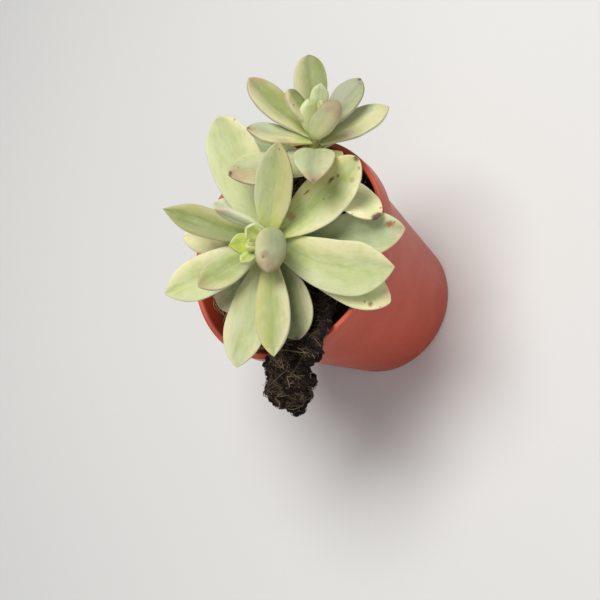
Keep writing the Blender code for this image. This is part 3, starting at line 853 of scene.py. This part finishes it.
def make_pot():
    """A thin tapered pot with a rounded lip, a collar and drain holes."""
    collar = RIM_HEIGHT - COLLAR_HEIGHT
    inner_rim = RIM_RADIUS - LIP_THICKNESS
    corners = (
        (0.0, 0.0),
        (BASE_RADIUS - 0.3, 0.0),
        (wall_radius(collar), collar),
        (RIM_RADIUS - 0.25, collar),
        (RIM_RADIUS, RIM_HEIGHT),
        (inner_rim, RIM_HEIGHT),
        (inner_wall(collar) + 0.1, collar + 0.3),
        (inner_wall(collar - 1.5), collar - 1.5),
        (inner_wall(BASE_THICKNESS), BASE_THICKNESS),
        (0.0, BASE_THICKNESS),
    )
    profile = rounded(corners, CORNER_RADII)
    fine = []
    for (r0, z0), (r1, z1) in zip(profile[1:-1], profile[2:-1]):
        count = max(1, int(abs(z1 - z0) / PROFILE_STEP))
        fine.extend((r0 + (r1 - r0) * i / count, z0 + (z1 - z0) * i / count) for i in range(count))
    fine.append(profile[-2])
    points = []
    for radius, z in fine:
        for turn in angles(POT_SEGMENTS):
            x, y = on_circle(1.0, turn)
            warp = WARP * noise.noise(Vector((x * 1.3, y * 1.3, z * 0.02))) * z / RIM_HEIGHT
            points.append(((radius + warp) * x, (radius + warp) * y, z))
    points.append((0, 0, 0))
    points.append((0, 0, BASE_THICKNESS))
    faces = grid_faces(len(fine), POT_SEGMENTS, len(points) - 2, len(points) - 1)
    pot = mesh_object("fine_pot", points, faces, pot_material())
    drains = bpy.data.collections.new("drains")
    scene.collection.children.link(drains)
    for k in range(DRAIN_HOLES):
        x, y = on_circle(DRAIN_CIRCLE, math.tau * (k + 0.5) / DRAIN_HOLES)
        ring = []
        for z in (-1.0, BASE_THICKNESS + 1.0):
            for turn in angles(DRAIN_SIDES):
                dx, dy = on_circle(DRAIN_RADIUS, turn)
                ring.append((x + dx, y + dy, z))
        faces = grid_faces(2, DRAIN_SIDES)
        drill = mesh_object(f"drain_{k}", ring, faces, pot.data.materials[0], False)
        scene.collection.objects.unlink(drill)
        drains.objects.link(drill)
    cut = pot.modifiers.new("drains", "BOOLEAN")
    cut.operation = "DIFFERENCE"
    cut.operand_type = "COLLECTION"
    cut.collection = drains
    graph = bpy.context.evaluated_depsgraph_get()
    mesh = bpy.data.meshes.new_from_object(pot.evaluated_get(graph))
    pot.modifiers.clear()
    pot.data = mesh
    for drill in list(drains.objects):
        bpy.data.objects.remove(drill, do_unlink=True)
    bpy.data.collections.remove(drains)
    mesh.set_sharp_from_angle(angle=math.radians(SHARP_ANGLE))
    dress(pot, "pot", "pot")


# Peat and roots: lengths in millimetres
SOIL_LEVEL = RIM_HEIGHT - 8.0
SOIL_BUMP = 0.8
SOIL_CLEARANCE = 0.5
SOIL_SEGMENTS = 180
SOIL_RINGS = 60
SOIL_SKIRT = 2.0  # how far below its level the wall of the filling ends
SOIL_EDGE = 0.1  # share of the radius over which it falls towards the wall
EDGE_DROP = 0.8
GRAIN_HEIGHT = 1.3
GRAIN_PER_MM = 0.45
SOIL_SEED = 11
SOIL_CRUMBS = 3400
SOIL_ROOTS = 520
ROOT_HEIGHTS = (0.05, 1.5)  # least and greatest over the surface
WALL_ROOTS = 34
WALL_ROOT_SIDE = (112, 188)  # bearings between which roots cling to the wall
WALL_ROOT_STEPS = 10
WALL_CRUMBS = 420
LITTER_GAP = 0.05  # least room that crumbs and roots leave to leaves and pot
GOLDEN = (1 + 5**0.5) / 2
CRUMB_CORNERS = [
    corner
    for a in (-1, 1)
    for b in (-GOLDEN, GOLDEN)
    for corner in ((0, a, b), (a, b, 0), (b, 0, a))
]
CRUMB_SHAPE = np.array(CRUMB_CORNERS) / math.hypot(1, GOLDEN)
# Root clump: points on its course with its half width and half thickness there
CLUMP_PATH = (
    ((-8.5, -17.5, 52.0), 5.5, 2.2),
    ((-14.5, -20.5, 55.2), 6.4, 2.2),
    ((-20.0, -23.8, 59.9), 6.8, 2.1),
    ((-27.0, -25.2, 61.3), 6.8, 2.9),
    ((-34.5, -24.2, 57.0), 5.8, 3.4),
    ((-37.3, -22.5, 50.0), 3.6, 2.4),
)
CLUMP_START = Vector((1.5, 0.8, -0.6))  # its end points, past the ends of its course
CLUMP_END = Vector((-0.4, 0.6, -2.2))
CLUMP_RINGS = 110
CLUMP_SIDES = 64
# For each size of lump: height, number per millimetre and shift
LUMPS = ((2.8, 0.22, 3.0), (2.0, 0.5, 0.0), (0.9, 1.3, 0.0), (0.3, 3.5, 0.0))
LUMP_LEVEL = 0.6
CLUMP_SEED = 23
CLUMP_CRUMBS = 2200
CLUMP_ROOTS = 1300
CLUMP_ROOT_STEPS = 10
LOOSE_ROOTS = 110


def peat_material(name, dark, light):
    tree = Tree(name, dark)
    place = tree.place()
    coarse = tree.noise(place, 320.0, 4.0, 0.65)
    fine = tree.noise(place, 1900.0, 5.0, 0.7)
    tree.coat(tree.smooth(coarse, 0.42, 0.68), light)
    tree.coat(tree.smooth(fine, 0.6, 0.8, 0.25), srgb(84, 62, 48))
    tree.surface(
        Roughness=tree.plus(0.72, tree.times(fine, 0.25)),
        Normal=tree.bump(tree.plus(coarse, fine), 0.0006, 0.9),
        Specular_IOR_Level=0.25,
    )
    return tree.material


def root_material():
    """Fine roots, each with its own tone from the attribute written on it."""
    tree = Tree("fine_roots", srgb(62, 42, 30))
    tone = tree.parts(tree.attribute("tone"))[0]
    mottle = tree.noise(tree.place(), 2400.0)
    tree.coat(tone, srgb(196, 172, 134))
    tree.coat(tree.smooth(mottle, 0.45, 0.7, 0.5), srgb(70, 46, 30))
    tree.surface(
        Roughness=tree.plus(0.55, tree.times(mottle, 0.3)),
        Normal=tree.bump(mottle, 0.0001, 0.5),
    )
    return tree.material


def soil_height(x, y):
    rough = noise.noise(Vector((x / 5, y / 5, 0.3)))
    rough = rough + 0.5 * noise.noise(Vector((x / 2, y / 2, 4.1)))
    return SOIL_LEVEL + SOIL_BUMP * rough


def ground(x, y):
    """Height of the peat with its grain."""
    rough = noise.turbulence(Vector((x, y, 3.0)) * GRAIN_PER_MM, 4, False)
    return soil_height(x, y) + GRAIN_HEIGHT * (rough - 0.5)


def scatter(draw, reach):
    """A random place on a disc."""
    radius = reach * math.sqrt(draw.random())
    return on_circle(radius, draw.uniform(0, math.tau))


def jitter(draw, level, upright, fall=0.0):
    """A random direction, spread by different amounts in level and in height."""
    return Vector((draw.gauss(0, level), draw.gauss(0, level), draw.gauss(fall, upright)))


def crumb(draw, middle, size):
    """An uneven lump: an icosahedron with its corners pushed in and out."""
    stretch = np.array([draw.uniform(0.5, 1.3), draw.uniform(0.5, 1.3), draw.uniform(0.4, 0.9)])
    push = np.array([draw.uniform(0.7, 1.25) for _ in CRUMB_CORNERS])[:, None]
    spin = np.array(jitter(draw, 1, 1).to_track_quat("Z", "Y").to_matrix())
    return (CRUMB_SHAPE * push * stretch * size) @ spin.T + np.asarray(middle)


def crumb_faces():
    """The icosahedron's faces over its corners."""
    shape = bmesh.new()
    for corner in CRUMB_CORNERS:
        shape.verts.new(corner)
    bmesh.ops.convex_hull(shape, input=shape.verts)
    shape.verts.index_update()
    bmesh.ops.recalc_face_normals(shape, faces=shape.faces)
    faces = [tuple(v.index for v in face.verts) for face in shape.faces]
    shape.free()
    return faces


def tube(path, radius, sides=4):
    """Points and faces of a thin tapering tube along a path."""
    points = []
    count = len(path)
    for i, middle in enumerate(path):
        ahead = (path[min(i + 1, count - 1)] - path[max(i - 1, 0)]).normalized()
        side = side - ahead * side.dot(ahead) if i else ahead.orthogonal()
        side.normalize()
        across = ahead.cross(side)
        thin = radius * (1 - 0.75 * i / (count - 1))
        points.extend(middle + thin * turned(side, across, turn) for turn in angles(sides))
    return points, grid_faces(count, sides)


class Litter:
    """Gathers crumbs and fibres into one mesh of two materials, with a tone for each."""

    def __init__(self, seed, hard):
        self.draw = random.Random(seed)
        self.hard = hard
        self.points, self.faces, self.slots, self.tones = [], [], [], []
        self.crumb_faces = crumb_faces()

    def add(self, points, faces, slot, tone):
        start = len(self.points)
        self.points.extend(tuple(p) for p in points)
        self.faces.extend(tuple(start + i for i in face) for face in faces)
        self.slots.extend([slot] * len(faces))
        self.tones.extend([(tone, 0, 0)] * len(points))

    def free(self, point, space):
        """Whether the leaves and the pot leave this much room round a point."""
        return self.hard.find_nearest(Vector(point) * MM, space * MM)[0] is None

    def crumb(self, middle, size):
        if self.free(middle, size * 1.2 + LITTER_GAP):
            self.add(crumb(self.draw, middle, size), self.crumb_faces, 0, self.draw.random())

    def fibre(self, path, radius, tone=None):
        if all(self.free(point, radius + LITTER_GAP) for point in path):
            tone = self.draw.random() ** 2.0 if tone is None else tone
            self.add(*tube(path, radius), 1, tone)

    def finish(self, obj, root_skin):
        """Adds all of it to an object's mesh as one piece."""
        mesh = obj.data
        base = len(mesh.vertices)
        points = [tuple(v.co / MM) for v in mesh.vertices] + self.points
        old_faces = [tuple(f.vertices) for f in mesh.polygons]
        faces = old_faces + [tuple(base + i for i in face) for face in self.faces]
        made = bpy.data.meshes.new(mesh.name)
        made.from_pydata((np.array(points, float) * MM).tolist(), [], faces)
        made.materials.append(mesh.materials[0])
        made.materials.append(root_skin)
        made.polygons.foreach_set("material_index", [0] * len(old_faces) + self.slots)
        made.shade_smooth()
        obj.data = made
        bpy.data.meshes.remove(mesh)
        store(obj, "tone", [(0.3, 0, 0)] * base + self.tones)


def solid_tree():
    """Search tree over the leaves and the pot, which crumbs and fibres keep clear of."""
    points, faces = [], []
    for obj in scene.objects:
        if obj.type == "MESH" and obj.name.startswith("fine_") and "stem" not in obj.name:
            start = len(points)
            points.extend(v.co.copy() for v in obj.data.vertices)
            faces.extend(tuple(start + i for i in f.vertices) for f in obj.data.polygons)
    return BVHTree.FromPolygons(points, faces)


def wander(draw, start, heading, length, turn, settle, steps=8):
    """A wandering path whose points settle puts back on the surface that carries it."""
    path = [Vector(start)]
    heading = Vector(heading).normalized()
    bias = jitter(draw, 1, 1) * turn * 0.4
    for _ in range(steps):
        heading = heading + jitter(draw, 1, 0.6) * turn + bias
        heading.normalize()
        path.append(settle(path[-1] + heading * (length / steps)))
    return path


def make_soil(root_skin, hard):
    """Peat surface with crumbs and fine roots, over the walls of the filling."""
    top_radius = inner_wall(SOIL_LEVEL) - SOIL_CLEARANCE
    floor = BASE_THICKNESS + GAP
    low_radius = inner_wall(floor) - SOIL_CLEARANCE
    turns = angles(SOIL_SEGMENTS)
    points = []
    for radius, z in ((low_radius, floor), (top_radius, SOIL_LEVEL - SOIL_SKIRT)):
        points.extend((*on_circle(radius, turn), z) for turn in turns)
    for i in range(SOIL_RINGS, 0, -1):
        share = i / SOIL_RINGS
        drop = EDGE_DROP * max(0.0, (share - (1 - SOIL_EDGE)) / SOIL_EDGE)
        for turn in turns:
            x, y = on_circle(top_radius * i / SOIL_RINGS, turn)
            points.append((x, y, ground(x, y) - drop))
    points.append((0, 0, floor))
    points.append((0, 0, soil_height(0, 0)))
    faces = grid_faces(SOIL_RINGS + 2, SOIL_SEGMENTS, len(points) - 2, len(points) - 1)
    skin = peat_material("peat", srgb(38, 26, 20), srgb(66, 46, 34))
    soil = mesh_object("fine_soil", points, faces, skin)
    litter = Litter(SOIL_SEED, hard)
    draw = litter.draw

    def settle(p):
        reach = min(1.0, (top_radius - 0.4) / max(0.1, math.hypot(p.x, p.y)))
        p = Vector((p.x * reach, p.y * reach, p.z))
        level = ground(p.x, p.y)
        p.z = min(max(p.z, level + ROOT_HEIGHTS[0]), level + ROOT_HEIGHTS[1])
        return p

    for _ in range(SOIL_CRUMBS):
        x, y = scatter(draw, top_radius - 0.5)
        size = 0.25 + 0.75 * draw.random() ** 3
        litter.crumb((x, y, ground(x, y) + 0.35 * size), size)
    for _ in range(SOIL_ROOTS):
        start = settle(Vector((*scatter(draw, top_radius), RIM_HEIGHT)))
        heading = jitter(draw, 1, 0.4)
        path = wander(draw, start, heading, draw.uniform(2.5, 9.0), 0.35, settle)
        litter.fibre(path, draw.uniform(0.04, 0.11))
    for _ in range(WALL_ROOTS):
        turn = math.radians(draw.uniform(*WALL_ROOT_SIDE))
        reach = inner_wall(RIM_HEIGHT - 5) - draw.uniform(0.4, 1.8)
        path = []
        z = SOIL_LEVEL
        rise = draw.uniform(0.5, 1.3)
        step = draw.choice((-1, 1)) * draw.uniform(0.02, 0.045)
        for j in range(WALL_ROOT_STEPS):
            path.append(Vector((*on_circle(reach, turn), z)))
            turn += step
            z += rise * math.cos(j * 0.3)
            reach = min(reach + draw.gauss(0.1, 0.15), inner_wall(z) - 0.25)
        litter.fibre(path, draw.uniform(0.1, 0.17), draw.uniform(0.7, 1.0))
    for _ in range(WALL_CRUMBS):
        turn = draw.uniform(0, math.tau)
        z = SOIL_LEVEL + 0.3 + 4.5 * draw.random() ** 2
        size = 0.14 + 0.32 * draw.random() ** 2
        reach = inner_wall(z) - 1.2 * size - 0.06
        litter.crumb((*on_circle(reach, turn), z), size)
    litter.finish(soil, root_skin)
    dress(soil, "soil", "peat")


def clump_station(t):
    """Middle point, half width and half thickness of the root clump, t from 0 to 1."""
    spans = len(CLUMP_PATH) - 1
    i = min(int(t * spans), spans - 1)
    u = t * spans - i
    near = [CLUMP_PATH[min(max(i + j, 0), spans)] for j in (-1, 0, 1, 2)]
    a, b, c, d = [np.array((*point, width, thick)) for point, width, thick in near]
    bend = 2 * a - 5 * b + 4 * c - d
    twist = 3 * (b - c) + d - a
    x, y, z, width, thick = 0.5 * (2 * b + (c - a) * u + bend * u**2 + twist * u**3)
    return Vector((x, y, z)), width, thick


def clump_frame(t):
    middle, width, thick = clump_station(t)
    ahead = clump_station(min(t + 0.02, 1))[0] - clump_station(max(t - 0.02, 0))[0]
    ahead.normalize()
    outward = Vector((middle.x, middle.y, 0)).normalized()
    side = Vector((0, 0, 1)).cross(outward)
    side = (side - ahead * side.dot(ahead)).normalized()
    return middle, width, thick, ahead, side, side.cross(ahead)


def clump_surface(t, a):
    """Point on the clump's rough surface and the direction out of it."""
    middle, width, thick, ahead, side, up = clump_frame(t)
    out = side * (width * math.cos(a)) + up * (thick * math.sin(a))
    point = middle + out
    lump = 0.0
    for height, per_mm, shift in LUMPS:
        lump += height * noise.noise(point * per_mm + Vector((shift, 0, 0)))
    away = (side * (math.cos(a) / width) + up * (math.sin(a) / thick)).normalized()
    cap = 0.05 + 0.45 * min(1.0, max(0.0, (t - 0.35) / 0.2))
    return point + away * min(max(lump - LUMP_LEVEL, -0.75 * thick), cap), away


def make_clump(root_skin, hard):
    """Peat held together by fine roots, hanging over the rim."""
    points = []
    for i in range(CLUMP_RINGS):
        t = i / (CLUMP_RINGS - 1)
        points.extend(clump_surface(t, -turn)[0] for turn in angles(CLUMP_SIDES))
    points.append(clump_station(0)[0] + CLUMP_START)
    points.append(clump_station(1)[0] + CLUMP_END)
    faces = grid_faces(CLUMP_RINGS, CLUMP_SIDES, len(points) - 2, len(points) - 1)
    skin = peat_material("rooted_peat", srgb(19, 12, 10), srgb(46, 31, 27))
    clump = mesh_object("fine_root_clump", points, faces, skin)
    litter = Litter(CLUMP_SEED, hard)
    draw = litter.draw
    for _ in range(CLUMP_CRUMBS):
        point, away = clump_surface(draw.random(), draw.uniform(0, math.tau))
        size = 0.2 + 1.1 * draw.random() ** 3
        litter.crumb(point + away * 0.3 * size, size)
    for _ in range(CLUMP_ROOTS):
        t = draw.random()
        a = draw.uniform(0, math.tau)
        step_t = draw.gauss(0, 0.012)
        step_a = draw.gauss(0, 0.14)
        curl_t = draw.gauss(0, 0.004)
        curl_a = draw.gauss(0, 0.06)
        lift = draw.uniform(0.0, 0.4) if draw.random() < 0.8 else draw.uniform(0.6, 1.2)
        point = clump_surface(t, a)[0]
        lit = 0.03 + 0.4 * min(1.0, max(0.0, 0.25 + 2.2 * noise.noise(point * 0.35)))
        if draw.random() < 0.09:
            lit = draw.uniform(1.0, 1.6)
        path = []
        for j in range(CLUMP_ROOT_STEPS + 1):
            point, away = clump_surface(min(max(t, 0.0), 1.0), a)
            arch = lift * math.sin(math.pi * j / CLUMP_ROOT_STEPS) + 0.06
            path.append(point + away * arch)
            t += step_t
            a += step_a
            step_t += curl_t + draw.gauss(0, 0.003)
            step_a += curl_a + draw.gauss(0, 0.06)
        litter.fibre(path, draw.uniform(0.035, 0.1), lit * draw.uniform(0.5, 1.0))
    for _ in range(LOOSE_ROOTS):
        t = 1 - 0.9 * draw.random() ** 1.3
        point, away = clump_surface(t, draw.uniform(0, math.tau))
        heading = away + jitter(draw, 0.5, 0.5, -0.5)
        start = point - away * 0.3
        path = wander(draw, start, heading, draw.uniform(1.0, 2.6), 0.4, lambda p: p)
        litter.fibre(path, draw.uniform(0.03, 0.07))
    litter.finish(clump, root_skin)
    dress(clump, "root_clump", "root_mat")


# Stage and light: metres and watts
FLOOR_HALF = 1.5
WORLD_COLOUR = (0.95, 0.97, 1.0, 1.0)
WORLD_STRENGTH = 0.18
LIGHT_TARGET = Vector((0, 0, 0.06))
LIGHTS = (
    ("key", (0.17, 0.02, 0.65), 0.42, 3.7, (1.0, 0.985, 0.95)),
    ("fill", (-0.15, -0.45, 0.45), 0.60, 0.9, (1.0, 1.0, 1.0)),
)


def make_stage():
    tree = Tree("pale_floor", (0.80, 0.80, 0.79))
    cloud = tree.noise(tree.place(), 3.0, 2.0)
    tree.coat(tree.smooth(cloud, 0.3, 0.7, 0.5), (0.76, 0.76, 0.76))
    tree.surface(Roughness=0.8)
    half = FLOOR_HALF / MM
    corners = ((-half, -half, 0), (half, -half, 0), (half, half, 0), (-half, half, 0))
    floor = mesh_object("floor", corners, [(0, 1, 2, 3)], tree.material, False)


def make_light():
    world = bpy.data.worlds.new("studio")
    world.use_nodes = True
    scene.world = world
    back = world.node_tree.nodes["Background"]
    back.inputs["Color"].default_value = WORLD_COLOUR
    back.inputs["Strength"].default_value = WORLD_STRENGTH
    for name, place, size, power, colour in LIGHTS:
        data = bpy.data.lights.new(name, "AREA")
        data.shape = "DISK"
        data.size = size
        data.energy = power
        data.color = colour
        light = bpy.data.objects.new(name, data)
        scene.collection.objects.link(light)
        light.location = place
        light.rotation_euler = (Vector(place) - LIGHT_TARGET).to_track_quat("Z", "Y").to_euler()
    scene.view_settings.view_transform = "Standard"


make_camera()
make_stage()
make_light()
make_pot()
make_plant()
hard_parts = solid_tree()
roots = root_material()
make_soil(roots, hard_parts)
make_clump(roots, hard_parts)
